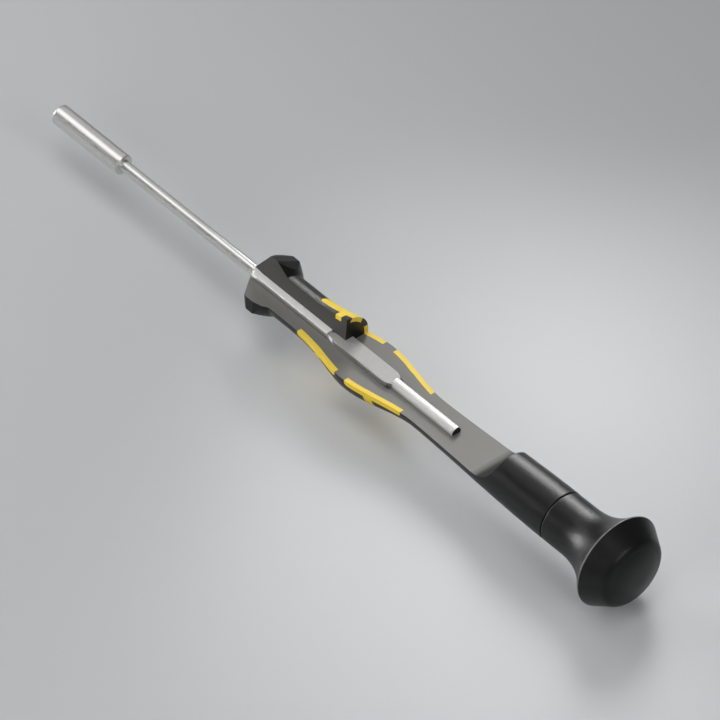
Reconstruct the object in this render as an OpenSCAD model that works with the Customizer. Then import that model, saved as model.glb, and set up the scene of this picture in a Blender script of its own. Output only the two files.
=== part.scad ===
// Precision nut driver with a free-turning cap, shown cut open along its grip.
// The tool lies along +X: the socket's mouth is at the origin and the cap is at the far end.
// +Z is square to the flat cut face, and +Y is the side where a block of the grip is left standing.

/* [Socket] */
// Width across the flats of the hexagon socket
socket_af = 2.5; // [1.5:0.1:2.8]
// Outer diameter of the socket
socket_d = 3.8; // [3.6:0.1:5]
// Length of the socket
socket_len = 16.5; // [14:0.5:24]
// Depth of the hexagon
hex_depth = 3; // [2:0.5:5]
// Diameter of the bore that clears a stud behind the hexagon
stud_d = 1.4; // [0.8:0.1:1.4]
// Depth of that bore
stud_depth = 5; // [2:0.5:7]
// Length of blade that sits in the socket
seat_len = 4; // [3:0.5:6]
// Chamfer on the socket's two ends
socket_chamfer = 0.2; // [0.1:0.05:0.4]

/* [Blade] */
// Bare reach, from the socket's mouth to the grip
reach = 50; // [40:1:80]
// Diameter of the bare blade and of its tail
blade_d = 2.1; // [1.8:0.1:2.4]
// Diameter of the thicker bar inside the grip
bar_d = 3; // [2.8:0.1:3.4]
// Thickness of the bar where it is pressed flat
bar_t = 1.34; // [1.1:0.02:1.6]
// Length of the round collar where the bar enters the grip
collar_len = 0.7; // [0.4:0.1:1.5]
// Length of the slope from the collar to the flat
collar_slope = 1.6; // [1:0.1:3]
// Length of the flat bar, from the grip's front to the wings
bar_len = 19.9; // [17:0.1:22]
// Width across the wings that key the blade into the grip
wing_w = 3.46; // [3.2:0.02:4]
// Thickness of the wings
wing_t = 1.24; // [1:0.02:1.4]
// Thickness left at the root of the press mark in front of the wings
mark_t = 0.76; // [0.6:0.02:0.9]
// Length of the sloping press mark
mark_len = 4.2; // [3:0.1:5]
// Length of the wings, with the press mark
wing_len = 15.2; // [12:0.1:18]
// Length of the taper behind the wings
wing_taper = 1.5; // [1:0.1:2.5]
// Length of the round tail behind the wings
tail_len = 16.3; // [8:0.1:17]

/* [Grip] */
// Width across the flats of the six-sided flange that stops the tool from rolling
flange_af = 10.44; // [9.6:0.02:11.4]
// Distance from the grip's front to the flange's first full corner
flange_at = 3.85; // [3.2:0.05:4.4]
// Length of the flange's full corner
flange_land = 1.6; // [1:0.1:2]
// Length of the cone behind the flange
flange_back = 2.75; // [2.2:0.05:3.4]
// Radius of the grip's front face
front_r = 1.9; // [1.8:0.05:2.4]
// Radius of the narrow neck behind the flange
neck_r = 4.1; // [3.8:0.05:4.4]
// Distance from the grip's front to the neck
neck_at = 12; // [10.5:0.1:13]
// Largest radius of the belly
belly_r = 6.07; // [5.7:0.01:6.6]
// Distance from the grip's front to the belly
belly_at = 28.7; // [28.2:0.1:29.2]
// Radius of the waist behind the belly
waist_r = 3.83; // [3.6:0.01:4.1]
// Distance from the grip's front to the waist
waist_at = 44; // [42.5:0.1:46]
// Radius of the grip where it meets the cap
seam_r = 4.88; // [4.7:0.01:5.2]
// Distance from the grip's front to the seam with the cap
seam_at = 77.9; // [76:0.1:82]

/* [Soft inlays] */
// Width of each soft bar
bar_w = 2.84; // [2:0.02:3.4]
// Depth of each soft bar
bar_depth = 0.9; // [0.6:0.05:1.1]
// Corner radius of each soft bar
bar_corner = 0.6; // [0.3:0.05:0.9]
// Depth of the two rings that join the bars
ring_depth = 1.05; // [0.7:0.05:1.2]
// Distance from the grip's front to the front bars
front_bars_at = 15.6; // [14.6:0.1:17]
// Length of the front bars
front_bars_len = 11.5; // [10:0.1:12.3]
// Distance from the grip's front to the front ring
front_ring_at = 20.4; // [19:0.1:21]
// Width of the front ring
front_ring_w = 1.4; // [0.8:0.1:1.8]
// Distance from the grip's front to the rear bars
rear_bars_at = 29.65; // [29:0.05:31]
// Length of the rear bars
rear_bars_len = 11.85; // [10:0.05:13]
// Distance from the grip's front to the rear ring
rear_ring_at = 33.7; // [32.8:0.1:36]
// Width of the rear ring
rear_ring_w = 1.8; // [1:0.1:2.2]

/* [Cutaway] */
// Depth of the flat cut below the tool's axis
cut_depth = 0.3; // [0.1:0.05:0.6]
// Length of the block left standing, from the grip's front
block_len = 23.2; // [22.3:0.1:26]
// Distance from the grip's front to where the cut starts to run out
run_out_at = 59.3; // [57:0.1:61]
// Radius of the run-out
run_out_r = 5; // [4.7:0.1:7]

/* [Cap] */
// Length of the cap, from the seam to the crown of its end
cap_len = 19.2; // [18.4:0.1:21]
// Distance from the seam to where the neck starts to flare
flare_at = 4.1; // [3.2:0.1:5]
// Distance from the seam to the rim
rim_at = 13.7; // [13:0.1:14]
// Radius of the rim
rim_r = 8.92; // [8.2:0.02:9.6]
// Width of the rim's narrow land
rim_land = 0.2; // [0.1:0.05:0.4]
// Steepness of the flare, as the power that its curve follows
flare_power = 2.38; // [2:0.02:3]
// Radius of the disc in the cap's end
disc_r = 5.2; // [4.8:0.1:5.6]
// Thickness of the disc's edge
disc_t = 1; // [0.8:0.1:1.1]
// Height of the crown on the disc
disc_crown = 0.75; // [0.4:0.05:1]
// Width of the rounded shoulder between the cap's rear cone and the disc
shoulder_w = 1.6; // [1:0.1:2]
// Length of that shoulder along the cap
shoulder_len = 0.95; // [0.6:0.05:1.2]

/* [Cap bearing] */
// Diameter of the steel axle that the cap turns on
axle_d = 2.5; // [2:0.1:3]
// Depth to which the axle is pressed into the grip
axle_seat = 11; // [8:0.5:12]
// Diameter of the axle's head
axle_head_d = 5; // [4.4:0.1:5.6]
// Thickness of the axle's head
axle_head_t = 1; // [0.8:0.1:1.2]
// Outer diameter of the bearing bush
bush_d = 4.2; // [3.8:0.1:4.6]
// Thickness of the two washers
washer_t = 0.4; // [0.3:0.05:0.5]
// Radius of the grip's spigot that centres the cap
spigot_r = 3.3; // [3:0.05:3.6]
// Length of that spigot
spigot_len = 1.2; // [0.8:0.1:1.6]
// Wall between the bearing bush's rear end and the disc
disc_room = 3.1; // [2.8:0.1:3.2]

/* [Fits] */
// Clearance round the pieces that are moulded or pressed together
fixed_fit = 0.02; // [0.01:0.01:0.04]
// Radial clearance of the axle in its bush and of the washers on the axle
running_fit = 0.05; // [0.02:0.01:0.08]
// Play of the cap along its axle, at each washer
end_play = 0.1; // [0.05:0.05:0.2]
// Width of the open seam between the grip and the cap
seam_gap = 0.2; // [0.15:0.05:0.3]

/* [Hidden] */
$fn = 96;

// Length of each straight step along the curved outlines
outline_step = 1.2;
// Six bars and six flange corners
around = 6;
// Broken edge on the grip and the cap at the seam
edge_break = 0.15;
// Lip of the cap round the disc, and the power of the disc's crown
disc_lip = 0.2;
crown_power = 2.6;
// Room between the grip's spigot and the cap, and round the axle's head
spigot_play = 0.2;
head_play = 0.6;
// Rounding of the grip's front face, and of the blade's hole there
front_round = 1.1;
front_lip = 0.4;
hole_flare = 0.9;
hole_flare_len = 0.5;
// How steeply each flat falls away in front of the full corners and behind them
flat_lead = 0.25;
// Length over which neighbouring stretches of one piece run into each other
lap = 1;
// Longer than any piece is wide, for cuts that pass right through
past = 2 * rim_r + lap;
// Length of the steep front of the press mark
mark_step = 0.3;
// Place and rise of the press mark's crown, as it climbs to the wings
mark_crown_at = 0.35;
mark_crown = 0.06;
// Depth of the wings' clipped rear corners, and how far forward the clip and the corner start
wing_clip = 0.15;
wing_clip_at = 0.6;
wing_corner_at = 0.2;
// Share of the tail's radius that the wings' taper ends at
wing_taper_end = 0.8;

// Stations along X
grip_x = reach;
mark_x = grip_x + bar_len;
wing_end_x = mark_x + wing_len;
tail_end_x = wing_end_x + tail_len;
seam_x = grip_x + seam_at;
cap_x = seam_x + seam_gap;
rim_x = seam_x + rim_at;
cap_end_x = seam_x + cap_len;
disc_edge_x = cap_end_x - disc_crown;
bush_end_x = disc_edge_x - disc_t - disc_room;
spigot_end_x = seam_x + spigot_len;
front_washer_end_x = spigot_end_x + washer_t;
cap_floor_x = front_washer_end_x + end_play;
head_washer_x = bush_end_x + end_play;
head_x = head_washer_x + washer_t;

flange_r = flange_af / 2 / cos(180 / around) + fixed_fit;
blade_r = blade_d / 2;
bar_r = bar_d / 2;
axle_r = axle_d / 2;
bush_r = bush_d / 2;
pocket_r = axle_head_d / 2 + head_play;

// Rises from 0 to 1 with level ends
function ease(t) = t * t * (3 - 2 * t);

// Radius on an eased curve from one station to the next; a power over 1 keeps the curve low for longer
function eased_r(x, x0, r0, x1, r1, power = 1) = r0 + (r1 - r0) * ease(pow((x - x0) / (x1 - x0), power));

// Radius of the round grip at a distance behind its front
function grip_r(at) =
    at < neck_at ? neck_r :
    at < belly_at ? eased_r(at, neck_at, neck_r, belly_at, belly_r, 1.5) :
    at < waist_at ? eased_r(at, belly_at, belly_r, waist_at, waist_r) :
    eased_r(at, waist_at, waist_r, seam_at, seam_r, 0.85);

// Points [radius, x] of the grip's outline, moved in by a depth, between two distances behind its front
function grip_line(from, to, depth = 0) =
    let (steps = ceil((to - from) / outline_step))
    [for (i = [0:steps]) let (at = from + (to - from) * i / steps) [grip_r(at) - depth, grip_x + at]];

// Points [radius, x] of the cap's flare, from its neck to its rim
function flare_line() =
    let (steps = 9, length = rim_at - flare_at)
    [for (i = [0:steps]) let (t = i / steps)
        [seam_r + (rim_r - seam_r) * pow(t, flare_power), seam_x + flare_at + length * t]];

// Points [radius, x] of the rounded shoulder, from the rear cone to the lip round the disc
function shoulder_line() =
    let (steps = 4, lip_r = disc_r + disc_lip, start_r = lip_r + shoulder_w - disc_lip,
        start_x = disc_edge_x - shoulder_len,
        turn_r = start_r - (rim_r - start_r) / (start_x - rim_x - rim_land) * shoulder_len / 3,
        turn_x = start_x + shoulder_len / 3)
    [for (i = [0:steps]) let (t = i / steps, a = (1 - t) * (1 - t), b = 2 * t * (1 - t), c = t * t)
        [a * start_r + b * turn_r + c * lip_r, a * start_x + b * turn_x + c * disc_edge_x]];

function reversed(points) = [for (i = [len(points) - 1:-1:0]) points[i]];

// Turns points [radius, x] about the X axis
module turned(points) {
    rotate([0, 90, 0]) rotate_extrude() polygon(points);
}

// Round bar along X
module rod(r, x0, x1) {
    translate([x0, 0, 0]) rotate([0, 90, 0]) cylinder(r = r, h = x1 - x0);
}

// Round bore along X, open at both ends
module bore(r, x0, x1) {
    rod(r, x0 - 0.001, x1 + 0.001);
}

// Washer or bush along X
module tube(outer_r, inner_r, x0, x1) {
    difference() {
        rod(outer_r, x0, x1);
        bore(inner_r, x0 - lap, x1 + lap);
    }
}

// Six-sided bar along X, with a corner pointing down
module hex_bar(af, x0, x1) {
    translate([x0, 0, 0]) rotate([0, 90, 0])
        cylinder(d = af / cos(180 / around), h = x1 - x0, $fn = around);
}

// Slab that lies along X, as thick at each x as the points [x, half thickness] say, and wide along Y
module side_shape(points) {
    mirrored = [for (p = reversed(points)) [p[0], -p[1]]];
    rotate([90, 0, 0]) linear_extrude(height = past, center = true) polygon(concat(points, mirrored));
}

// Slab as wide along Y at each x as the points [x, half width] say, and tall along Z
module plan_shape(points) {
    mirrored = [for (p = reversed(points)) [p[0], -p[1]]];
    linear_extrude(height = past, center = true) polygon(concat(points, mirrored));
}

module socket() {
    color("silver") difference() {
        turned([
            [0, 0],
            [socket_d / 2 - socket_chamfer, 0],
            [socket_d / 2, socket_chamfer],
            [socket_d / 2, socket_len - socket_chamfer],
            [socket_d / 2 - socket_chamfer, socket_len],
            [0, socket_len],
        ]);
        hex_bar(socket_af, -lap, hex_depth);
        bore(stud_d / 2, hex_depth - lap, hex_depth + stud_depth);
        bore(blade_r + fixed_fit, socket_len - seat_len, socket_len + lap);
    }
}

// The blade, grown all round by a margin where it makes its own pocket in the grip
module blade_form(margin = 0) {
    front_x = grip_x - margin;
    step_x = mark_x + mark_step;
    crown_x = mark_x + mark_len * mark_crown_at;
    rod(blade_r + margin, socket_len - seat_len + fixed_fit, grip_x + collar_len);
    intersection() {
        rod(bar_r + margin, front_x, step_x);
        side_shape([
            [front_x, bar_r + margin],
            [grip_x + collar_len, bar_r + margin],
            [grip_x + collar_len + collar_slope, bar_t / 2 + margin],
            [mark_x + margin, bar_t / 2 + margin],
            [step_x, mark_t / 2 + margin],
        ]);
    }
    intersection() {
        side_shape([
            [step_x - lap / 20, mark_t / 2 + margin],
            [crown_x, (mark_t + wing_t) / 4 + mark_crown + margin],
            [mark_x + mark_len, wing_t / 2 + margin],
            [wing_end_x + wing_taper, wing_t / 2 + margin],
        ]);
        plan_shape([
            [step_x - lap / 20, bar_r + margin],
            [mark_x + mark_len / 2, wing_w / 2 + margin],
            [wing_end_x - wing_taper * wing_clip_at, wing_w / 2 + margin],
            [wing_end_x - wing_taper * wing_corner_at, wing_w / 2 - wing_clip + margin],
            [wing_end_x + wing_taper, blade_r * wing_taper_end + margin],
        ]);
    }
    rod(blade_r + margin, wing_end_x - wing_taper, tail_end_x + margin);
}

module blade() {
    color("lightgray") blade_form();
}

// Six-sided bar for the flange: each flat has straight edges and falls away beyond them
module flange_flats() {
    front_x = grip_x - lap;
    edge_x = grip_x + flange_at;
    land_end_x = edge_x + flange_land;
    far_x = land_end_x + flange_back;
    outline = [
        [front_x, flange_af / 2 - flat_lead * (edge_x - front_x)],
        [edge_x, flange_af / 2],
        [land_end_x, flange_af / 2],
        [far_x, flange_af / 2 - flat_lead * flange_back],
        [grip_x + neck_at + lap, flange_af / 2 - flat_lead * flange_back],
    ];
    intersection() {
        plan_shape(outline);
        rotate([360 / around, 0, 0]) plan_shape(outline);
        rotate([720 / around, 0, 0]) plan_shape(outline);
    }
}

// What is cut away from the grip and its inlays to show the blade
module cutaway() {
    translate([grip_x - lap, -past, -cut_depth]) cube([block_len + lap, past, past]);
    translate([grip_x + block_len, -past, -cut_depth]) cube([run_out_at - block_len, 2 * past, past]);
    translate([grip_x + run_out_at, 0, run_out_r - cut_depth]) rotate([90, 0, 0])
        cylinder(r = run_out_r, h = 2 * past, center = true);
}

// Round-cornered slots pointing out from the axis, one for each soft bar
module bar_slots(at, length) {
    x0 = grip_x + at;
    for (i = [0:around - 1]) rotate([i * 360 / around, 0, 0])
        translate([x0, 0, 0]) rotate([-90, 0, 0]) linear_extrude(height = past) {
            translate([0, -bar_w / 2 + bar_corner]) square([length, bar_w - 2 * bar_corner]);
            translate([bar_corner, -bar_w / 2]) square([length - 2 * bar_corner, bar_w]);
            for (x = [bar_corner, length - bar_corner], z = [-1, 1])
                translate([x, z * (bar_w / 2 - bar_corner)]) circle(r = bar_corner);
        }
}

// Skin of the grip between two distances, as deep as given and standing out by a margin
module grip_skin(from, to, depth, proud) {
    turned(concat(grip_line(from, to, -proud), reversed(grip_line(from, to, depth))));
}

// Bars and the ring that joins them: flush with the grip, or standing out to cut their own pocket
module inlay_form(bars_at, bars_len, ring_at, ring_w, proud = 0) {
    intersection() {
        grip_skin(bars_at - lap, bars_at + bars_len + lap, bar_depth, proud);
        bar_slots(bars_at, bars_len);
    }
    grip_skin(ring_at, ring_at + ring_w, ring_depth, proud);
}

module grip_blank() {
    land_end_x = grip_x + flange_at + flange_land;
    neck_x = grip_x + neck_at;
    intersection() {
        turned([
            [0, grip_x],
            [front_r - front_lip, grip_x],
            [front_r, grip_x + front_round],
            [flange_r, grip_x + flange_at],
            [flange_r, land_end_x],
            [neck_r, land_end_x + flange_back],
            [neck_r, neck_x],
            [0, neck_x],
        ]);
        flange_flats();
    }
    turned(concat([[0, neck_x - lap], [neck_r, neck_x - lap]],
        grip_line(neck_at, seam_at - edge_break), [[seam_r - edge_break, seam_x], [spigot_r, seam_x],
        [spigot_r, spigot_end_x], [0, spigot_end_x]]));
}

module grip_body() {
    color("dimgray") difference() {
        grip_blank();
        cutaway();
        blade_form(fixed_fit);
        turned([[0, grip_x - lap], [bar_r + hole_flare, grip_x - lap], [bar_r, grip_x + hole_flare_len],
            [0, grip_x + hole_flare_len]]);
        inlay_form(front_bars_at, front_bars_len, front_ring_at, front_ring_w, lap);
        inlay_form(rear_bars_at, rear_bars_len, rear_ring_at, rear_ring_w, lap);
        bore(axle_r + fixed_fit, seam_x - axle_seat, spigot_end_x + lap);
    }
}

module front_inlay() {
    color("gold") difference() {
        inlay_form(front_bars_at, front_bars_len, front_ring_at, front_ring_w);
        cutaway();
    }
}

module rear_inlay() {
    color("gold") difference() {
        inlay_form(rear_bars_at, rear_bars_len, rear_ring_at, rear_ring_w);
        cutaway();
    }
}

// Headed pin, pressed into the grip
module cap_axle() {
    color("gainsboro") {
        rod(axle_r, seam_x - axle_seat + fixed_fit, head_x + axle_head_t / 2);
        rod(axle_head_d / 2, head_x, head_x + axle_head_t);
    }
}

module front_washer() {
    color("khaki") tube(spigot_r, axle_r + running_fit, spigot_end_x, front_washer_end_x);
}

module head_washer() {
    color("khaki") tube(axle_head_d / 2, axle_r + running_fit, head_washer_x, head_x);
}

module cap_shell() {
    color("black") difference() {
        turned(concat(
            [[0, cap_x], [seam_r - edge_break, cap_x], [seam_r, cap_x + edge_break]],
            flare_line(),
            [[rim_r, rim_x + rim_land]],
            shoulder_line(),
            [[0, disc_edge_x]]));
        bore(spigot_r + spigot_play, cap_x - lap, cap_floor_x);
        bore(bush_r + fixed_fit, cap_floor_x - lap, bush_end_x + lap);
        bore(pocket_r, bush_end_x, disc_edge_x);
        bore(disc_r + fixed_fit, disc_edge_x - disc_t, disc_edge_x + lap);
    }
}

module cap_bush() {
    color("tan") tube(bush_r, axle_r + running_fit, cap_floor_x, bush_end_x);
}

// Crowned disc that closes the cap's end
module end_disc() {
    steps = 6;
    color("#202020") turned(concat(
        [[0, disc_edge_x - disc_t + fixed_fit], [disc_r, disc_edge_x - disc_t + fixed_fit]],
        [for (i = [0:steps]) let (t = i / steps)
            [disc_r * (1 - t), disc_edge_x + disc_crown * (1 - pow(1 - t, crown_power))]]));
}

socket();
blade();
grip_body();
front_inlay();
rear_inlay();
cap_axle();
front_washer();
head_washer();
cap_shell();
cap_bush();
end_disc();
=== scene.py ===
import math
import bmesh
import bpy
import numpy as np
from mathutils import Matrix, Vector


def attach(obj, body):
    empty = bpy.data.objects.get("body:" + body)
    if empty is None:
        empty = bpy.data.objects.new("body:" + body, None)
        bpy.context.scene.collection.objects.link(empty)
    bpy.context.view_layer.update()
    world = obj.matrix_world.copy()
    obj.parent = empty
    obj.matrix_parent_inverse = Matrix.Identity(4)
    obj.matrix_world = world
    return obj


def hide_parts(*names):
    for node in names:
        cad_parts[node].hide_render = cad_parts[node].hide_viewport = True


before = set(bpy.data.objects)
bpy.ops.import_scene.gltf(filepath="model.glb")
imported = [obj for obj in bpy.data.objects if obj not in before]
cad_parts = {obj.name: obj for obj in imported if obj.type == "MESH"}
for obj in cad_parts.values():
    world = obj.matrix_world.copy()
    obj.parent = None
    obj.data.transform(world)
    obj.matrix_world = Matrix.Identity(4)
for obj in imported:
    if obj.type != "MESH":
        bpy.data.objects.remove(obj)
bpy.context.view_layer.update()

mm = 0.001
gripX = 50.0      # where the grip starts, in mm from the socket's mouth
seamX = 127.9     # where the turning cap starts
tiny = 1e-6       # mm, for telling equal from different

# The cut: flat at its height, with a block left standing to blockEnd, and a quarter round as its run-out, on
# which painted shade darkens the grey of the cut to black as the hollow turns up.
cutSizes = {"height": -0.3, "blockEnd": 73.2, "runOutX": 109.9, "runOutR": 5.0, "shadeFrom": 109.6,
    "shadeTo": 111.5}
print("frame loaded:", len(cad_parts), "nodes")


# Shapes

# Hexagon: its radius at an angle is half the width across flats over the cosine of the angle to the
# nearest flat.
def hexagonRadius(angle, acrossFlats):
    toFlat = (angle + math.pi / 6) % (math.pi / 3) - math.pi / 6
    return acrossFlats / 2 / np.cos(toFlat)


# Angles round the tool's axis, from +Y towards +Z.
def anglesAround(count):
    return np.arange(count) * 2 * math.pi / count


# Outline with rounded corners: each corner [x, r, radius] becomes an arc that touches both of its sides.
def roundedOutline(corners, arcSteps=5):
    points = np.array([c[:2] for c in corners], float)
    out = [points[0]]
    for i in range(1, len(points) - 1):
        radius = corners[i][2] if len(corners[i]) > 2 else 0
        back, on = points[i - 1] - points[i], points[i + 1] - points[i]
        lengths = np.linalg.norm(back), np.linalg.norm(on)
        back, on = back / lengths[0], on / lengths[1]
        half = math.acos(np.clip(back @ on, -1, 1)) / 2
        if radius == 0 or half > math.pi / 2 - 0.01:
            out.append(points[i])
            continue
        reach = min(radius / math.tan(half), lengths[0] * 0.49, lengths[1] * 0.49)
        radius = reach * math.tan(half)
        centre = points[i] + (back + on) / np.linalg.norm(back + on) * radius / math.sin(half)
        start, end = points[i] + back * reach - centre, points[i] + on * reach - centre
        turn = math.atan2(start[0] * end[1] - start[1] * end[0], start @ end)
        for t in np.linspace(0, 1, arcSteps + 1):
            c, s = math.cos(turn * t), math.sin(turn * t)
            out.append(centre + np.array([start[0] * c - start[1] * s, start[0] * s + start[1] * c]))
    out.append(points[-1])
    return np.array(out)


# Long straight stretches of an outline are split into steps of at most the given length.
def evenSteps(outline, step):
    parts = [outline[:1]]
    for a, b in zip(outline[:-1], outline[1:]):
        count = max(1, math.ceil(np.linalg.norm(b - a) / step))
        t = np.arange(1, count + 1)[:, None] / count
        parts.append(a + (b - a) * t)
    return np.concatenate(parts)


# Grid of points: each x has a ring of radii, laid out by cosine along Y and sine along Z.
def ringGrid(x, radii):
    angle = anglesAround(radii.shape[1])
    xs = np.broadcast_to(x[:, None], radii.shape)
    return np.stack([xs, radii * np.cos(angle), radii * np.sin(angle)], 2)


# Outline [x, r] turned about the axis.
def turnedGrid(outline, around):
    return ringGrid(outline[:, 0], np.repeat(outline[:, 1:], around, 1))


# Faces of a grid whose rings close on themselves. A first or last ring of no radius becomes one point,
# and a looped grid joins its last ring to its first.
def gridMesh(grid, looped=False):
    rows, around = grid.shape[:2]
    if looped:
        ring = np.arange(rows * around).reshape(rows, around)
        ring = np.concatenate([ring, ring[:1]])
        points = grid.reshape(-1, 3)
        caps = []
    else:
        points = np.concatenate([grid[:1, 0], grid[1:-1].reshape(-1, 3), grid[-1:, 0]])
        ring = 1 + np.arange((rows - 2) * around).reshape(rows - 2, around)
        last = len(points) - 1
        after = np.roll(ring, -1, 1)
        caps = [[0, b, a] for a, b in zip(ring[0], after[0])]
        caps += [[a, b, last] for a, b in zip(ring[-1], after[-1])]
    after = np.roll(ring, -1, 1)
    quads = np.stack([ring[:-1], after[:-1], after[1:], ring[1:]], 2).reshape(-1, 4)
    return points, quads.tolist() + [[int(i) for i in c] for c in caps]


# Every face is shaded smooth; sharp edges or given normals say where the shading breaks.
def smoothAll(mesh):
    mesh.polygons.foreach_set("use_smooth", np.ones(len(mesh.polygons), bool))


# New object from points in mm, rounded so that what lies on a cutting plane lies on it exactly; faces may
# name a material slot each.
def makeObject(name, points, faces, materials=(), slots=None, sharpDegrees=35):
    mesh = bpy.data.meshes.new(name)
    mesh.from_pydata((np.round(points, 5) * mm).tolist(), [], faces)
    for m in materials:
        mesh.materials.append(m)
    if slots is not None:
        mesh.polygons.foreach_set("material_index", np.asarray(slots, np.int32))
    mesh.update()
    smoothAll(mesh)
    mesh.set_sharp_from_angle(angle=math.radians(sharpDegrees))
    piece = bpy.data.objects.new(name, mesh)
    bpy.context.scene.collection.objects.link(piece)
    return piece


# The last lines for every piece: the body it moves with, its finish, which is not used, and the solid it stands
# for.
def settle(piece, body, finish, *nodes):
    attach(piece, body)
    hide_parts(*nodes)


# Materials

# sRGB hex to linear colour: each channel is (c + 0.055) / 1.055 to the power 2.4, or c / 12.92 below 0.04045.
def linear(hexColour):
    c = np.array([int(hexColour[i:i + 2], 16) for i in (1, 3, 5)]) / 255
    c = np.where(c <= 0.04045, c / 12.92, ((c + 0.055) / 1.055) ** 2.4)
    return (*[float(v) for v in c], 1.0)


# Adds one node: its sockets take values or links, its properties take the rest.
def addNode(tree, kind, sockets=None, **properties):
    made = tree.nodes.new(kind)
    for key, value in properties.items():
        setattr(made, key, value)
    for key, value in (sockets or {}).items():
        if isinstance(value, bpy.types.NodeSocket):
            tree.links.new(value, made.inputs[key])
        else:
            made.inputs[key].default_value = value
    return made


# Principled material whose colour, roughness and bump come from the given build function.
def newMaterial(name, build, **sockets):
    material = bpy.data.materials.new(name)
    material.use_nodes = True
    tree = material.node_tree
    tree.nodes.clear()
    place = addNode(tree, "ShaderNodeTexCoord").outputs["Object"]
    given = {k.replace("_", " "): v for k, v in sockets.items()}
    given.update(build(tree, place))
    shader = addNode(tree, "ShaderNodeBsdfPrincipled", given)
    addNode(tree, "ShaderNodeOutputMaterial", {"Surface": shader.outputs["BSDF"]})
    return material


# Noise of a real grain size in mm, stretched along X by a factor.
def grain(tree, place, size, stretch=1.0, detail=3.0):
    scale = (1 / stretch, 1, 1)
    moved = addNode(tree, "ShaderNodeMapping", {"Vector": place, "Scale": scale})
    return addNode(tree, "ShaderNodeTexNoise", {"Vector": moved.outputs["Vector"],
        "Scale": 1 / (size * mm), "Detail": detail, "Roughness": 0.6}).outputs["Fac"]


# A number that follows a noise between two ends.
def spread(tree, noise, low, high, fromLow=0.3, fromHigh=0.7):
    return addNode(tree, "ShaderNodeMapRange", {"Value": noise, "From Min": fromLow, "From Max": fromHigh,
        "To Min": low, "To Max": high}).outputs["Result"]


# A colour that goes from the first to the second by a share; each is a hex colour or another node's.
def blend(tree, share, *colours):
    mixed = addNode(tree, "ShaderNodeMix", {"Factor": share}, data_type="RGBA")
    for socket, colour in zip([i for i in mixed.inputs if i.type == "RGBA"], colours):
        if isinstance(colour, str):
            socket.default_value = linear(colour)
        else:
            tree.links.new(colour, socket)
    return [o for o in mixed.outputs if o.type == "RGBA"][0]


# A colour that follows a noise between two hex colours.
def tint(tree, noise, dark, light, fromLow=0.3, fromHigh=0.7):
    return blend(tree, spread(tree, noise, 0, 1, fromLow, fromHigh), dark, light)


# Bump whose height is given in mm.
def bump(tree, noise, height):
    return addNode(tree, "ShaderNodeBump", {"Height": noise, "Distance": height * mm,
        "Strength": 1.0}).outputs["Normal"]


# Satin chrome on ground steel: soft, broad highlights with hardly any grain along the bar.
def satinChromeBuild(tree, place):
    fine = grain(tree, place, 0.12, stretch=6)
    cloud = grain(tree, place, 1.6, stretch=3, detail=2)
    return {"Base Color": tint(tree, cloud, "#D8D7D5", "#E0DFDD"),
        "Roughness": spread(tree, fine, 0.26, 0.34), "Normal": bump(tree, fine, 0.0006)}


# Flat-ground strip of the blade: pale and matt, with a fine grain along the bar.
def groundStripBuild(tree, place):
    fine = grain(tree, place, 0.15, stretch=5)
    return {"Base Color": tint(tree, fine, "#E6E5E3", "#EEEDEB"),
        "Roughness": spread(tree, fine, 0.5, 0.6), "Normal": bump(tree, fine, 0.001)}


# Pressed and blasted plate: matt mid grey that scatters nearly evenly, with a fine speckle.
def blastedSteelBuild(tree, place):
    fleck = grain(tree, place, 0.22)
    return {"Base Color": tint(tree, fleck, "#9D9C9B", "#A9A8A6"),
        "Roughness": spread(tree, fleck, 0.6, 0.7), "Normal": bump(tree, fleck, 0.002)}


# Round tail, chromed but not polished: half matt, so that its highlight is broad.
def satinTailBuild(tree, place):
    fine = grain(tree, place, 0.15, stretch=5)
    return {"Base Color": tint(tree, fine, "#CBCAC8", "#D5D4D2"),
        "Roughness": spread(tree, fine, 0.36, 0.44), "Normal": bump(tree, fine, 0.0006)}


# End of the tail: sawn steel, painted dark grey as painted shade.
def shadedTailEndBuild(tree, place):
    marks = grain(tree, place, 0.12, stretch=0.3)
    return {"Base Color": tint(tree, marks, "#1C1B1A", "#2A2928"),
        "Roughness": spread(tree, marks, 0.5, 0.6), "Normal": bump(tree, marks, 0.003)}


# Spark-eroded mould finish on black polyamide: deep black with a wide, soft shine that shows fine grit.
# The real grit of 0.1 mm is drawn at 0.2 mm so that it shows.
def blackSkinBuild(tree, place):
    grit = grain(tree, place, 0.2, detail=2)
    cloud = grain(tree, place, 5.0, detail=2)
    return {"Base Color": tint(tree, cloud, "#070707", "#0B0B0A"),
        "Roughness": spread(tree, grit, 0.3, 0.38), "Normal": bump(tree, grit, 0.04)}


# The same polyamide milled open: its matt cut face is grey, with faint cutter marks across the tool.
def cutFaceBuild(tree, place):
    dust = grain(tree, place, 0.25)
    marks = addNode(tree, "ShaderNodeTexWave", {"Vector": place, "Scale": 1 / (0.9 * mm),
        "Distortion": 0.6, "Detail": 1.0}, wave_type="BANDS", bands_direction="X",
        wave_profile="SIN").outputs["Fac"]
    both = addNode(tree, "ShaderNodeMath", {0: dust, 1: marks}, operation="ADD").outputs["Value"]
    return {"Base Color": tint(tree, both, "#6A6965", "#73726E", 0.3, 1.7),
        "Roughness": spread(tree, dust, 0.52, 0.6), "Normal": bump(tree, both, 0.002)}


# The cut's run-out: painted shade, with the grey of the cut darkening along X to black where the hollow turns
# up.
def runOutBuild(tree, place):
    dust = grain(tree, place, 0.25)
    along = addNode(tree, "ShaderNodeSeparateXYZ", {"Vector": place}).outputs["X"]
    share = spread(tree, along, 0, 1, cutSizes["shadeFrom"] * mm, cutSizes["shadeTo"] * mm)
    return {"Base Color": blend(tree, share, tint(tree, dust, "#6A6965", "#73726E"), "#0A0A0A"),
        "Roughness": spread(tree, dust, 0.5, 0.58), "Normal": bump(tree, dust, 0.002)}
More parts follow.
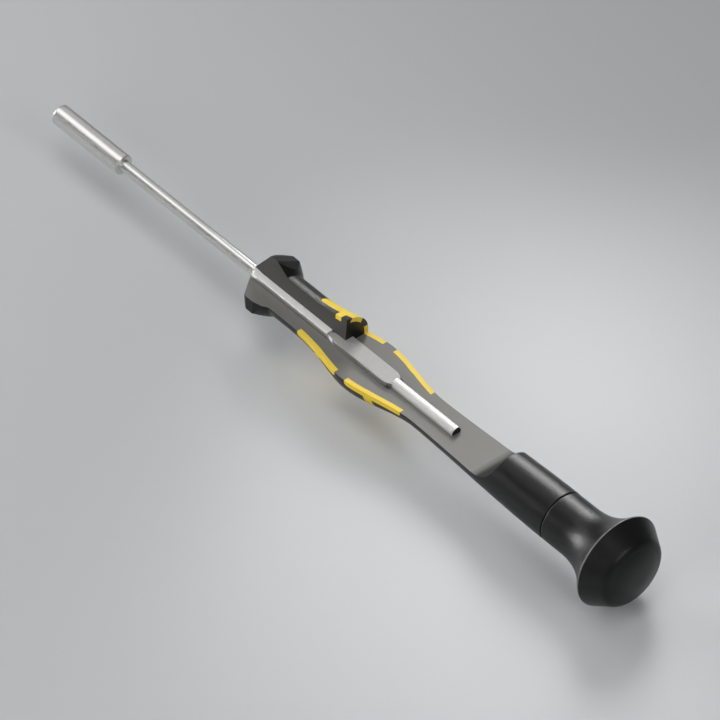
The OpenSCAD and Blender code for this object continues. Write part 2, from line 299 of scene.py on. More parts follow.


# The wall of the same cut: a little smoother, and darker than the flat cut by painted shade.
def shadedCutWallBuild(tree, place):
    dust = grain(tree, place, 0.25)
    return {"Base Color": tint(tree, dust, "#3F3E3C", "#464543"),
        "Roughness": spread(tree, dust, 0.46, 0.54), "Normal": bump(tree, dust, 0.002)}


# Injection-moulded elastomer: matt yellow with a slightly greener, deeper tone in the clouds.
def yellowSkinBuild(tree, place):
    grit = grain(tree, place, 0.28)
    cloud = grain(tree, place, 3.0, detail=2)
    return {"Base Color": tint(tree, cloud, "#DEBF2B", "#E8CA37"),
        "Roughness": spread(tree, grit, 0.5, 0.62), "Normal": bump(tree, grit, 0.01)}


# The elastomer where it is cut: a paler, flatter yellow.
def yellowCutBuild(tree, place):
    dust = grain(tree, place, 0.3)
    return {"Base Color": tint(tree, dust, "#E5C645", "#ECCE52"),
        "Roughness": spread(tree, dust, 0.6, 0.7), "Normal": bump(tree, dust, 0.003)}


# Painted highlight on edges of the black skin: dull grey, so that the rim shows as a thin pale line.
def edgeHighlightBuild(tree, place):
    dust = grain(tree, place, 0.3)
    return {"Base Color": tint(tree, dust, "#5E5D5B", "#6A6967"),
        "Roughness": spread(tree, dust, 0.42, 0.5), "Normal": bump(tree, dust, 0.002)}


# Ground bearing steel: brighter and finer than the chrome.
def groundSteelBuild(tree, place):
    fine = grain(tree, place, 0.1, stretch=0.2)
    return {"Base Color": tint(tree, fine, "#B4B4B2", "#C0BFBD"),
        "Roughness": spread(tree, fine, 0.22, 0.3), "Normal": bump(tree, fine, 0.003)}


# Turned acetal: waxy cream with faint tool rings.
def acetalBuild(tree, place):
    rings = grain(tree, place, 0.2, stretch=0.3)
    return {"Base Color": tint(tree, rings, "#D8D0BC", "#E2DBC9"),
        "Roughness": spread(tree, rings, 0.38, 0.5), "Normal": bump(tree, rings, 0.004)}


satinChrome = newMaterial("satin chrome, ground steel", satinChromeBuild, Metallic=1.0)
groundStrip = newMaterial("satin chrome, flat-ground", groundStripBuild, Metallic=0.05)
satinTail = newMaterial("satin chrome, unpolished", satinTailBuild, Metallic=0.55)
shadedTailEnd = newMaterial("steel, sawn end, painted shade", shadedTailEndBuild, Metallic=0.5)
blastedSteel = newMaterial("satin chrome, pressed and blasted", blastedSteelBuild, Metallic=0.15)
blackSkin = newMaterial("black polyamide, spark-eroded", blackSkinBuild, IOR=1.37)
cutFace = newMaterial("black polyamide, milled", cutFaceBuild, Specular_IOR_Level=0.3, IOR=1.5)
runOutFace = newMaterial("black polyamide, cutter run-out, painted shade", runOutBuild, Specular_IOR_Level=0.3, IOR=1.5)
shadedCutWall = newMaterial("black polyamide, milled, painted shade", shadedCutWallBuild, Specular_IOR_Level=0.3, IOR=1.5)
yellowSkin = newMaterial("yellow elastomer, moulded", yellowSkinBuild, Specular_IOR_Level=0.35, IOR=1.5)
yellowCut = newMaterial("yellow elastomer, cut", yellowCutBuild, Specular_IOR_Level=0.3, IOR=1.5)
edgeHighlight = newMaterial("black polyamide, painted edge highlight", edgeHighlightBuild, IOR=1.5)
groundSteel = newMaterial("bearing steel, ground", groundSteelBuild, Metallic=1.0)
acetal = newMaterial("acetal, turned", acetalBuild, IOR=1.48)
print("materials made")


# Socket

socketSizes = {"acrossFlats": 2.5, "outerR": 1.9, "length": 16.5, "hexDepth": 3.0, "studR": 0.7,
    "studEnd": 8.0, "seatX": 12.5, "seatR": 1.07, "round": 0.16, "mouthR": 1.54, "mouthDepth": 0.2,
    "around": 96}


# Outline from the bottom of the stud bore, out through the hexagon, along the sleeve and into the blade's
# seat; in the hexagon the radius is the hexagon's own.
def makeSocket(s):
    hexPlace = 1.0      # radius that stands for the hexagon until its own is put in
    corners = [[s["studEnd"], 0], [s["studEnd"], s["studR"]], [s["hexDepth"], s["studR"]],
        [s["hexDepth"], hexPlace], [s["mouthDepth"], hexPlace], [0, s["mouthR"]],
        [0, s["outerR"], s["round"]], [s["length"], s["outerR"], s["round"]], [s["length"], s["seatR"]],
        [s["seatX"], s["seatR"]], [s["seatX"], 0]]
    outline = evenSteps(roundedOutline(corners, 6), 0.6)
    radii = np.repeat(outline[:, 1:], s["around"], 1)
    flats = hexagonRadius(anglesAround(s["around"]), s["acrossFlats"])
    inHex = (np.abs(outline[:, 1] - hexPlace) < tiny) & (outline[:, 0] < s["hexDepth"] + tiny)
    radii[inHex] = flats
    edge = (outline[:, 0] < s["mouthDepth"] - tiny) & (outline[:, 1] < s["mouthR"]) & ~inHex
    radii[edge] = np.maximum(radii[edge], np.minimum(flats, s["mouthR"]))
    points, faces = gridMesh(ringGrid(outline[:, 0], radii))
    return makeObject("socket_sleeve", points, faces, [satinChrome])


settle(makeSocket(socketSizes), "handle", "socket_steel", "socket")
print("socket made")


# Blade

# Names of half widths end in W and of half thicknesses in T. The wings have flareW just behind the mark and at
# the first two flareX, and wingW from the third on.
bladeSizes = {"frontX": 12.52, "rodR": 1.05, "slopeFrom": 50.5, "slopeTo": 52.1, "slopeT": 0.9, "barX": 50.85,
    "barR": 1.5, "flatT": 0.67, "markX": 69.9, "markStep": 0.1, "markT": 0.34, "markEnd": 70.25,
    "flareX": (70.8, 71.6, 72.5), "flareW": (1.2, 1.32, 1.58), "crownX": 71.4, "crownT": 0.56, "wingX": 74.1,
    "wingT": 0.62, "wingW": 1.73, "clipX": 84.5, "cornerX": 85.2, "clip": 0.16, "plateEnd": 86.1,
    "endW": 0.95, "endEdge": 0.1, "tailEnd": 101.4, "chamfer": 0.1, "edgePower": 26}


# Section at each x: the radius is the smallest of the round bar, the half width over the cosine and the
# half thickness over the sine, blended by a power mean so that the edges are slightly rounded.
def barSection(angle, roundR, halfW, halfT, power):
    c, s = np.abs(np.cos(angle)), np.abs(np.sin(angle))
    terms = (1 / roundR) ** power + (c / halfW) ** power + (s / halfT) ** power
    return terms ** (-1 / power)


# Blade: a barSection at each x, with its radius, half width and half thickness read off straight lines between
# the values above, and a chamfer at both ends. With a margin all round it is the pocket's tool for the grip.
def bladeGrid(s, margin=0.0, around=192, frontX=bladeSizes["frontX"]):
    wide = 50.0                          # a limit that does not count here
    press, onPlate = s["slopeFrom"], s["markX"] + 0.2
    stretches = ((frontX, press - 0.001, 40), (press, 53, 40), (53.2, s["markX"] - 0.1, 30),
        (s["markX"], 70.5, 25), (70.6, 72, 16), (72.1, 83.8, 30), (84, s["plateEnd"] + 0.3, 40),
        (s["plateEnd"] + 0.5, s["tailEnd"], 24))      # from, to and number of sections
    x = np.concatenate([np.linspace(*stretch) for stretch in stretches])
    roundR = np.where(x < onPlate, np.interp(x, [press, s["barX"]], [s["rodR"], s["barR"]]), wide)
    mark = s["markX"], s["markX"] + s["markStep"], s["markEnd"], s["markEnd"] + s["markStep"]
    halfT = np.interp(x, [press, s["slopeTo"], *mark, s["crownX"], s["wingX"], s["plateEnd"] - s["endEdge"],
        s["plateEnd"]], [s["slopeT"], s["flatT"], s["flatT"], s["markT"], s["markT"], s["markT"] + 0.1,
        s["crownT"], s["wingT"], s["wingT"], s["wingT"] - s["endEdge"]])
    halfT = np.where(x < press, wide, halfT)
    halfW = np.interp(x, [onPlate, *s["flareX"], s["clipX"], s["cornerX"], s["plateEnd"]],
        [*s["flareW"], s["wingW"], s["wingW"], s["wingW"] - s["clip"], s["endW"]])
    if margin > 0:
        halfW = np.where(x > s["clipX"] - 4.5, s["wingW"], halfW)      # the clipped corners leave gaps
    halfW = np.where(x < onPlate, wide, halfW)
    radii = barSection(anglesAround(around)[None, :], roundR[:, None] + margin, halfW[:, None] + margin,
        halfT[:, None] + margin, s["edgePower"])
    tail, along = s["rodR"] + margin, x[:, None]
    radii = np.where(along > s["plateEnd"], tail, radii)
    radii = np.where((along > s["plateEnd"] - 0.25) & (along <= s["plateEnd"]),
        np.maximum(radii, tail * 0.94), radii)        # the plate's end never gets thinner than the tail
    front, back, slant = x[0] - margin, x[-1] + margin, s["chamfer"]
    first = turnedGrid(np.array([[front, 0.0], [front, tail - slant], [front + slant, tail]]), around)
    final = turnedGrid(np.array([[back - slant, tail], [back, tail - slant], [back, 0.0]]), around)
    return np.concatenate([first, ringGrid(x[1:-1], radii[1:-1]), final])


# Finish of each face of the blade, by the middle of the face and its normal, which is the cross product of its
# diagonals. 0 chrome, 1 ground strip, 2 blasted plate, 3 tail, 4 end of the tail.
def bladeSlots(points, faces, s):
    corners = points[np.array([f[:4] if len(f) > 3 else [*f, f[0]] for f in faces])]
    at = corners.mean(1)[:, 0]
    normal = np.cross(corners[:, 2] - corners[:, 0], corners[:, 3] - corners[:, 1])
    up = normal[:, 2] / np.linalg.norm(normal, axis=1)
    edge = 0.1
    flat = (at > s["slopeFrom"] + edge) & (at < s["plateEnd"] - edge) & (np.abs(up) > 0.8)
    slots = np.where(flat, np.where(at < s["markX"] + edge, 1, 2), 0)
    slots[~flat & (at > s["markX"] + 0.2) & (at < s["flareX"][1])] = 1      # where the wings spread
    slots[(at > s["slopeFrom"]) & (at < s["slopeTo"]) & (up > 0.2)] = 1     # where the rod is pressed flat
    slots[at > s["plateEnd"]] = 3
    slots[at > s["tailEnd"] - 0.02] = 4
    return slots


points, faces = gridMesh(bladeGrid(bladeSizes))
settle(makeObject("keyed_blade", points, faces, [satinChrome, groundStrip, blastedSteel, satinTail, shadedTailEnd],
    bladeSlots(points, faces, bladeSizes), sharpDegrees=30), "handle", "blade_steel", "blade")
print("blade made")


# Grip

gripSizes = {"neckR": 4.1, "neckAt": 12.0, "bellyR": 6.07, "bellyAt": 28.7, "waistR": 3.83, "waistAt": 44.0,
    "seamR": 4.88, "seamAt": 77.9, "seamRound": 0.14, "noseAt": 0.35, "noseR": 1.25, "lipAt": 0.5,
    "lipR": 1.38, "flangeR": 6.045, "flangeAt": 3.85, "flangeLand": 1.6, "flangeBack": 2.75, "edgeRound": 0.1,
    "neckRound": 0.9, "apothem": 5.22, "flatLean": 0.25, "flatEnd": 9.5, "spigotR": 3.3, "spigotEnd": 129.1,
    "axleR": 1.27, "axleFrom": 116.9, "keyFit": 0.03, "step": 0.4, "around": 144}


# Eased step: t squared times (3 - 2t), between two radii; the power keeps the curve low for longer.
def eased(at, start, r0, end, r1, power=1.0):
    t = np.clip((at - start) / (end - start), 0, 1) ** power
    return r0 + (r1 - r0) * t * t * (3 - 2 * t)


# Radius of the round grip behind its front, from the neck through the belly and the waist to the seam.
def gripRadius(at, s):
    toBelly = eased(at, s["neckAt"], s["neckR"], s["bellyAt"], s["bellyR"], 1.5)
    toWaist = eased(at, s["bellyAt"], s["bellyR"], s["waistAt"], s["waistR"])
    toSeam = eased(at, s["waistAt"], s["waistR"], s["seamAt"], s["seamR"], 0.85)
    return np.where(at < s["bellyAt"], toBelly, np.where(at < s["waistAt"], toWaist, toSeam))


# Outline of the grip: small lip, cone, flange and neck, then the eased curves in even steps, and the spigot.
def gripOutline(s):
    landEnd = s["flangeAt"] + s["flangeLand"]
    nose = roundedOutline([[gripX + s["noseAt"], 0], [gripX + s["noseAt"], s["noseR"]],
        [gripX + s["lipAt"], s["lipR"], 0.08], [gripX + s["flangeAt"], s["flangeR"], s["edgeRound"]],
        [gripX + landEnd, s["flangeR"], s["edgeRound"]],
        [gripX + landEnd + s["flangeBack"], s["neckR"], s["neckRound"]],
        [gripX + s["neckAt"] - 0.3, s["neckR"]]], 8)
    at = np.arange(s["neckAt"], s["seamAt"] - s["step"] / 2, s["step"])
    skin = np.stack([gripX + at, gripRadius(at, s)], 1)
    rear = roundedOutline([skin[-1], [seamX, s["seamR"], s["seamRound"]], [seamX, s["spigotR"]],
        [s["spigotEnd"], s["spigotR"]], [s["spigotEnd"], 0]], 5)
    return np.concatenate([evenSteps(nose, 0.8), skin, rear[1:]])


# Stack of polygon rings [x, points] closed at both ends.
def loft(xs, rings):
    count = len(rings[0])
    points = np.concatenate([np.column_stack([np.full(count, x), ring]) for x, ring in zip(xs, rings)])
    ring = np.arange(len(xs) * count).reshape(len(xs), count)
    after = np.roll(ring, -1, 1)
    quads = np.stack([ring[:-1], after[:-1], after[1:], ring[1:]], 2).reshape(-1, 4).tolist()
    return points, quads + [ring[0][::-1].tolist(), ring[-1].tolist()]


# Every blank and tool has room for the seven slot numbers that a cut can leave: 0 skin, 1 flange flats,
# 2 flat cut, 3 run-out, 4 end of the block, 5 pockets, 6 wall beside the blade.
toolSlots = [blackSkin] * 7


# Tool for the flange's flats: hexagons along X whose apothem is full on the land and falls by the lean on both
# sides of it; behind the neck the tool is wider than the grip.
def flangeTool(s):
    land = gripX + s["flangeAt"]
    landEnd = land + s["flangeLand"]
    low, clear, flatEnd = s["apothem"] - s["flatLean"] * s["flangeBack"], 12, gripX + s["flatEnd"]
    xs = [gripX - 1, land, landEnd, landEnd + s["flangeBack"], flatEnd, flatEnd + 0.1, s["spigotEnd"] + 1.9]
    apothems = [s["apothem"] - s["flatLean"] * (s["flangeAt"] + 1), s["apothem"], s["apothem"], low, low,
        clear, clear]
    angle = math.radians(30) + anglesAround(6)
    unit = np.stack([np.cos(angle), np.sin(angle)], 1) / math.cos(math.pi / 6)
    points, faces = loft(xs, [unit * a for a in apothems])
    return points, faces, [1] * len(faces)


# What is cut away: an L-shaped block above the flat cut. Its rear end is the run-out, a quarter round whose
# points are the radius times the cosine along X and the sine along Z.
def cutawayTool(s):
    low, blockX, front, top, side = s["height"], s["blockEnd"], gripX - 1, 14.0, 12.0
    turn = np.linspace(-math.pi / 2, 0, 25)
    arcX, arcZ = s["runOutX"] + s["runOutR"] * np.cos(turn), low + s["runOutR"] * (1 + np.sin(turn))
    plan = [[front, -side], [blockX, -side], [blockX, side], [blockX, 0], [front, 0]]
    floorPoints = [[x, y, low] for x, y in plan]
    topPoints = [[x, y, top] for x, y in plan]
    left, right = ([[x, y, z] for x, z in zip(arcX, arcZ)] + [[arcX[-1], y, top]] for y in (-side, side))
    n = len(left)
    l0, r0 = 10, 10 + n
    walls = [([0, 1, l0, r0, 2, 3, 4][::-1], 2)]      # the flat cut
    walls += [([l0 + i, l0 + i + 1, r0 + i + 1, r0 + i][::-1], 3) for i in range(n - 1)]
    walls += [([5, 6, l0 + n - 1, r0 + n - 1, 7, 8, 9], 5), ([0, 1, *range(l0, l0 + n), 6, 5], 5),
        ([2, 7, *range(r0 + n - 1, r0 - 1, -1)], 5), ([2, 3, 8, 7], 4), ([3, 4, 9, 8], 6), ([4, 0, 5, 9], 5)]
    points = np.array(floorPoints + topPoints + left + right, float)
    return points, [face for face, slot in walls], [slot for face, slot in walls]


# Points closer than 0.001 mm are merged, which closes the slivers that a cut can leave.
def weld(mesh):
    work = bmesh.new()
    work.from_mesh(mesh)
    bmesh.ops.remove_doubles(work, verts=work.verts, dist=0.001 * mm)
    bmesh.ops.dissolve_degenerate(work, edges=work.edges, dist=0.0005 * mm)
    work.to_mesh(mesh)
    work.free()


# Cuts a piece with a closed tool, which is then thrown away. New faces keep the tool's slot numbers, and a
# tool made of parts that meet has to say so.
def cut(piece, tool, operation="DIFFERENCE", keepTool=False, partsMeet=False):
    change = piece.modifiers.new("cut", "BOOLEAN")
    change.operation, change.solver, change.object = operation, "EXACT", tool
    change.material_mode = "INDEX"
    change.use_self = partsMeet
    bpy.context.view_layer.update()
    made = bpy.data.meshes.new_from_object(piece.evaluated_get(bpy.context.evaluated_depsgraph_get()))
    piece.modifiers.clear()
    old = piece.data
    piece.data = made
    bpy.data.meshes.remove(old)
    if not keepTool:
        bpy.data.objects.remove(tool)
    return piece


# A closed tool; the faces of a pocket's tool are in slot 5.
def makeTool(points, faces, slots=None):
    return makeObject("tool", points, faces, toolSlots, slots if slots is not None else [5] * len(faces))


gripLine = gripOutline(gripSizes)
points, faces = gridMesh(turnedGrid(gripLine, gripSizes["around"]))
blank = makeObject("blank", points, faces, toolSlots, [0] * len(faces))
cut(blank, makeTool(*flangeTool(gripSizes)), "INTERSECT")
cut(blank, makeTool(*cutawayTool(cutSizes)))
print("grip cut open:", len(blank.data.polygons), "faces")


inlaySizes = {"barW": 2.84, "barDepth": 0.9, "corner": 0.6, "ringDepth": 0.94, "barTool": (2.2, 9.0),
    "ringTool": (2.4, 9.2),      # the tools' radii differ, so that no two of their faces lie in one surface
    "front": {"barsAt": 15.6, "barsLen": 11.5, "ringAt": 20.4, "ringW": 1.4},
    "rear": {"barsAt": 29.65, "barsLen": 11.85, "ringAt": 33.7, "ringW": 1.8}}


# Pocket of one soft shot: the skin between two depths, kept only inside the six bars and the ring.
def pocketShell(s, part, g):
    lap, proud = 1.0, 1.5      # past the bars' ends, and above the skin
    wall = 1e-4                # length in which the depth changes at the ring
    at = np.arange(part["barsAt"] - lap, part["barsAt"] + part["barsLen"] + lap, 0.25)
    ringAt, ringEnd = part["ringAt"], part["ringAt"] + part["ringW"]
    at = np.sort(np.concatenate([at, [ringAt, ringAt + wall, ringEnd, ringEnd + wall]]))
    inRing = (at > ringAt + wall / 2) & (at < ringEnd + wall / 2)
    depth = np.where(inRing, s["ringDepth"], s["barDepth"])
    r = gripRadius(at, g)
    outer = np.stack([gripX + at, r + proud], 1)
    inner = np.stack([gripX + at, r - depth], 1)[::-1]
    return gridMesh(turnedGrid(np.concatenate([outer, inner]), g["around"]), looped=True)


# Tool for one bar: a rounded rectangle along X, pushed out from the axis between two heights and turned.
def barTool(s, part, turn):
    half, corner = s["barW"] / 2, s["corner"]
    x0, x1 = gripX + part["barsAt"], gripX + part["barsAt"] + part["barsLen"]
    ring = []
    for cx, cz, start in ((x1 - corner, half - corner, 0), (x0 + corner, half - corner, 90),
            (x0 + corner, corner - half, 180), (x1 - corner, corner - half, 270)):
        a = np.radians(start + np.linspace(0, 90, 8))
        ring.append(np.stack([cx + corner * np.cos(a), cz + corner * np.sin(a)], 1))
    ring = np.concatenate(ring)
    c, t = math.cos(turn), math.sin(turn)
    levels = []
    for y in s["barTool"]:
        z = ring[:, 1]
        levels.append(np.stack([ring[:, 0], y * c - z * t, y * t + z * c], 1))
    count = len(ring)
    low, high = np.arange(count), count + np.arange(count)
    sides = np.stack([low, np.roll(low, -1), np.roll(high, -1), high], 1)[:, ::-1].tolist()
    return np.concatenate(levels), sides + [low.tolist(), high[::-1].tolist()]


# Several meshes as one: each part's faces count on from the points before it.
def joined(parts):
    points, faces, base = [], [], 0
    for p, f in parts:
        points.append(p)
        faces += [[int(i) + base for i in face] for face in f]
        base += len(p)
    return np.concatenate(points), faces


# Tool for one soft shot's pocket: the shell where it meets the six bars or the drum of the ring.
def makePocket(s, part, g):
    tools = [barTool(s, part, turn) for turn in anglesAround(6)]
    inner, outer = s["ringTool"]
    x0, x1 = gripX + part["ringAt"], gripX + part["ringAt"] + part["ringW"]
    drum = np.array([[x0, outer], [x1, outer], [x1, inner], [x0, inner]])
    tools.append(gridMesh(turnedGrid(drum, g["around"]), looped=True))
    return cut(makeTool(*pocketShell(s, part, g)), makeTool(*joined(tools)), "INTERSECT", partsMeet=True)


# Normals from the outlines themselves: on the skin they lean by the outline's slope, on the run-out they point
# to its centre line, and elsewhere they are the face's own.
def setExactNormals(mesh, line):
    weld(mesh)
    keep = np.concatenate([[True], np.diff(line[:, 0]) > tiny])
    x, r = line[keep, 0], line[keep, 1]
    slope = np.gradient(r, x)
    co = np.zeros(len(mesh.vertices) * 3)
    mesh.vertices.foreach_get("co", co)
    co = co.reshape(-1, 3) / mm
    loopVertex = np.zeros(len(mesh.loops), np.int64)
    mesh.loops.foreach_get("vertex_index", loopVertex)
    count = len(mesh.polygons)
    total, slots = np.zeros(count, np.int64), np.zeros(count, np.int64)
    own = np.zeros(count * 3)
    mesh.polygons.foreach_get("loop_total", total)
    mesh.polygons.foreach_get("material_index", slots)
    mesh.polygons.foreach_get("normal", own)
    loopSlot = np.repeat(slots, total)
    normals = np.repeat(own.reshape(-1, 3), total, 0)
    at = co[loopVertex]
    lean = np.interp(at[:, 0], x, slope)
    radius = np.maximum(np.hypot(at[:, 1], at[:, 2]), tiny)
    skin = np.stack([-lean, at[:, 1] / radius, at[:, 2] / radius], 1)
    skin /= np.linalg.norm(skin, axis=1)[:, None]
    onSkin = (loopSlot == 0) & (np.einsum("ij,ij->i", skin, normals) > 0.8)
    normals[onSkin] = skin[onSkin]
    hollow = np.stack([cutSizes["runOutX"] - at[:, 0], np.zeros(len(at)),
        cutSizes["height"] + cutSizes["runOutR"] - at[:, 2]], 1)
    hollow /= np.maximum(np.linalg.norm(hollow, axis=1), tiny)[:, None]
    onHollow = (loopSlot == 3) & (np.einsum("ij,ij->i", hollow, normals) > 0.9)
    normals[onHollow] = hollow[onHollow]
    smoothAll(mesh)
    mesh.normals_split_custom_set(normals.tolist())


# A piece's own materials go onto the slot numbers that the tools left.
def dress(piece, name, materials):
    piece.name = piece.data.name = name
    slots = np.zeros(len(piece.data.polygons), np.int32)
    piece.data.polygons.foreach_get("material_index", slots)
    piece.data.materials.clear()
    for m in materials:
        piece.data.materials.append(m)
    piece.data.polygons.foreach_set("material_index", slots)


pockets = {}
for place in ("front", "rear"):
    pockets[place] = makePocket(inlaySizes, inlaySizes[place], gripSizes)
    inlay = bpy.data.objects.new("inlay", blank.data.copy())
    bpy.context.scene.collection.objects.link(inlay)
    cut(inlay, pockets[place], "INTERSECT", keepTool=True)
    dress(inlay, place + "_soft_inlay", [yellowSkin, yellowSkin, yellowCut, yellowCut, yellowCut, yellowSkin,
        yellowCut])
    setExactNormals(inlay.data, gripLine)
    settle(inlay, "handle", "inlay_yellow", place + "_inlay")
    print(place, "inlay made:", len(inlay.data.polygons), "faces")

for place in ("front", "rear"):
    cut(blank, pockets[place])
points, faces = gridMesh(bladeGrid(bladeSizes, margin=gripSizes["keyFit"], around=96, frontX=40.0))
cut(blank, makeTool(points, faces))
boreFrom, boreTo, boreR = gripSizes["axleFrom"], gripSizes["spigotEnd"] + 1, gripSizes["axleR"]
bore = np.array([[boreFrom, 0], [boreFrom, boreR], [boreTo, boreR], [boreTo, 0]])
cut(blank, makeTool(*gridMesh(turnedGrid(bore, 64))))
# The end of the block is cut like the flat cut, but takes the skin's black as painted shade.
dress(blank, "grip_moulding", [blackSkin, blackSkin, cutFace, runOutFace, blackSkin, cutFace, shadedCutWall])
setExactNormals(blank.data, gripLine)
settle(blank, "handle", "grip_black", "grip_body")
print("grip made:", len(blank.data.polygons), "faces")


# Cap

capSizes = {"seamR": 4.88, "startX": 128.1, "seamRound": 0.14, "flareX": 132.0, "power": 2.38, "rimX": 141.6,
    "rimR": 8.92, "land": 0.2, "proud": 0.03, "rimRound": 0.28, "coneX": 145.4, "coneR": 6.8, "lean": 0.17,
    "discX": 146.35, "discR": 5.2, "discT": 1.0, "crown": 0.75, "crownPower": 2.6, "recessR": 3.5,
    "recessX": 129.6, "bushR": 2.12, "bushEnd": 142.25, "pocketR": 3.1, "fit": 0.02, "highlightRim": 0.085,
    "highlightSeam": 0.12, "around": 160}


# Outline of the cap: straight neck, a flare whose radius grows by a power of the way along, a narrow rim, a
# straight rear cone, a shoulder on a curve of the second degree, and back through its bores to the seam.
def capOutline(s):
    t = np.linspace(0, 1, 36)
    flare = np.stack([s["flareX"] + (s["rimX"] - s["flareX"]) * t,
        s["seamR"] + (s["rimR"] - s["seamR"]) * t ** s["power"]], 1)
    cone = np.array([s["coneX"], s["coneR"]])
    rim = roundedOutline([flare[-2], [s["rimX"] + s["land"] / 2, s["rimR"] + s["proud"], s["rimRound"]], cone],
        10)
    lip = np.array([s["discX"], s["discR"] + s["fit"]])
    turn = cone + (cone - np.array([s["rimX"] + s["land"], s["rimR"]])) * s["lean"]
    u = np.linspace(0, 1, 14)[1:, None]
    shoulder = cone * (1 - u) ** 2 + turn * 2 * u * (1 - u) + lip * u ** 2
    seat = s["discX"] - s["discT"]
    inside = np.array([[seat, lip[1]], [seat, s["pocketR"]], [s["bushEnd"], s["pocketR"]],
        [s["bushEnd"], s["bushR"]], [s["recessX"], s["bushR"]], [s["recessX"], s["recessR"]],
        [s["startX"], s["recessR"]]])
    start = roundedOutline([inside[-1], [s["startX"], s["seamR"], s["seamRound"]], flare[0]], 5)[1:-1]
    outside = evenSteps(np.concatenate([start, flare[:-1], rim[1:], shoulder]), 0.5)
    return np.concatenate([outside, inside])


# The cap's outline turned about the axis. Faces at the crest of the rim and at the seam's edge take a painted
# highlight.
def makeCap(s):
    points, faces = gridMesh(turnedGrid(capOutline(s), s["around"]), looped=True)
    middle = points[np.array(faces)].mean(1)
    radius = np.hypot(middle[:, 1], middle[:, 2])
    atRim = radius > s["rimR"] - s["highlightRim"]
    atSeam = (middle[:, 0] < s["startX"] + 0.1) & (radius > s["seamR"] - s["highlightSeam"])
    return makeObject("turning_cap", points, faces, [blackSkin, edgeHighlight], np.where(atRim | atSeam, 1, 0))


# Crown of the disc: it rises by its height times 1 - (1 - t) to a power, with t from the edge to the middle.
def makeDisc(s):
    t = np.linspace(0, 1, 30)
    crown = np.stack([s["discX"] + s["crown"] * (1 - (1 - t) ** s["crownPower"]), s["discR"] * (1 - t)], 1)
    back = s["discX"] - s["discT"] + s["fit"]
    outline = np.concatenate([[[back, 0], [back, s["discR"]]], crown])
    points, faces = gridMesh(turnedGrid(outline, s["around"]))
    return makeObject("cap_end_disc", points, faces, [blackSkin])


settle(makeCap(capSizes), "cap", "cap_black", "cap_shell")
settle(makeDisc(capSizes), "cap", "cap_black", "end_disc")
for name, material in (("cap_axle", groundSteel), ("front_washer", acetal), ("head_washer", acetal),
        ("cap_bush", acetal)):
    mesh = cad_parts[name].data
    mesh.materials.clear()
    mesh.materials.append(material)
print("cap made")


# Floor, light and camera

floorSizes = {"radius": 2500, "height": -8.97, "around": 96}


# Pale board: an even, matt light grey with hardly any cloud.
def floorBuild(tree, place):
    cloud = addNode(tree, "ShaderNodeTexNoise", {"Vector": place, "Scale": 3.0, "Detail": 2.0}).outputs["Fac"]
    return {"Base Color": tint(tree, cloud, "#C6C8CA", "#CACCCE"), "Roughness": spread(tree, cloud, 0.7, 0.8)}


angle = anglesAround(floorSizes["around"])
ring = np.stack([np.cos(angle), np.sin(angle), np.zeros(len(angle))], 1) * floorSizes["radius"]
ring[:, 2] = floorSizes["height"]
floor = makeObject("floor", ring, [list(range(len(ring)))],
    [newMaterial("pale board", floorBuild, Specular_IOR_Level=0.1)])


# Softbox: its power is the brightness that it shows times pi times its area. A grid narrows its beam to a
# half angle h, and as the beam's middle would get brighter by tan h / (tan h - h), that is taken off again.
def softbox(name, place, aim, width, depth, brightness, beam=180):
    data = bpy.data.lights.new(name, "AREA")
    data.shape, data.size, data.size_y = "RECTANGLE", width, depth
    half = math.radians(min(beam, 179) / 2)
    data.spread = math.radians(beam)
    data.energy = brightness * math.pi * width * depth * (1 - half / math.tan(half) if beam < 180 else 1)
    lamp = bpy.data.objects.new(name, data)
    lamp.location = Vector(place)
    lamp.rotation_mode = "QUATERNION"
    lamp.rotation_quaternion = (Vector(aim) - Vector(place)).to_track_quat("-Z", "Y")
    lamp.visible_camera = False
    bpy.context.scene.collection.objects.link(lamp)


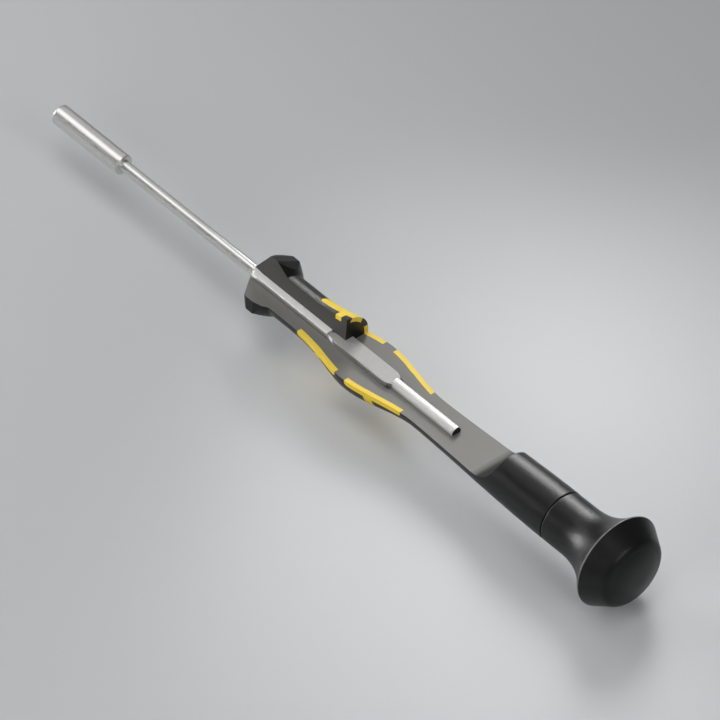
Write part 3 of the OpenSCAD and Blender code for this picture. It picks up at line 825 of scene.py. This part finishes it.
# Place, aim, width and depth in metres, then the brightness, and the beam's degrees where a grid narrows it.
softboxes = {
    "front overhead": ((-0.092, -0.034, 0.166), (0.012, 0, 0), 0.125, 0.266, 1.35),
    "rear band": ((0.040, 0.090, 0.090), (0.126, 0, 0), 0.07, 0.090, 21.0, 44),
    "neck band": ((-0.016, 0.104, 0.080), (0.068, 0, 0.003), 0.02, 0.05, 50.0, 13),
    "far bank": ((-0.183, 0.228, 0.253), (-0.183, 0, 0), 0.16, 0.44, 0.52),
    "low kick": ((-0.133, -0.120, 0.018), (0.137, 0, 0), 0.23, 0.055, 50.0, 26),
    "top strip": ((0.14, -0.18, 0.64), (0.10, 0, 0), 0.16, 0.60, 2.7),
    "near fill": ((0.13, -0.40, 0.20), (0.075, 0, 0), 0.30, 0.20, 2.7),
    "side fill": ((0.75, -0.06, 0.45), (0.10, 0, 0), 0.4, 0.4, 2.6)}
for name, settings in softboxes.items():
    softbox(name, *settings)

world = bpy.data.worlds.new("studio")
bpy.context.scene.world = world
world.use_nodes = True
tree = world.node_tree
tree.nodes.clear()
sky = addNode(tree, "ShaderNodeBackground", {"Color": linear("#FFFFFF"), "Strength": 0.14})
addNode(tree, "ShaderNodeOutputWorld", {"Surface": sky.outputs["Background"]})

# The photograph is drawn along nearly parallel lines, so the lens is very long. Width is the photograph's width
# at the tool and centre its middle, in metres; back points from the tool to the camera.
cameraSizes = {"centre": (0.0777, -0.0005, -0.0004), "back": (0.5225, -0.5132, 0.6810),
    "right": (0.6647, 0.7453, 0.0516), "width": 0.1217, "lens": 1400, "sensor": 36}

back, right = Vector(cameraSizes["back"]).normalized(), Vector(cameraSizes["right"]).normalized()
data = bpy.data.cameras.new("camera")
data.lens, data.sensor_width = cameraSizes["lens"], cameraSizes["sensor"]
data.clip_start, data.clip_end = 0.1, 20
distance = cameraSizes["width"] * data.lens / data.sensor_width
camera = bpy.data.objects.new("camera", data)
turn = Matrix((right, back.cross(right), back)).transposed().to_4x4()
camera.matrix_world = Matrix.Translation(Vector(cameraSizes["centre"]) + back * distance) @ turn
bpy.context.scene.collection.objects.link(camera)
bpy.context.scene.camera = camera
bpy.context.scene.view_settings.view_transform = "Standard"

print("light and camera set")
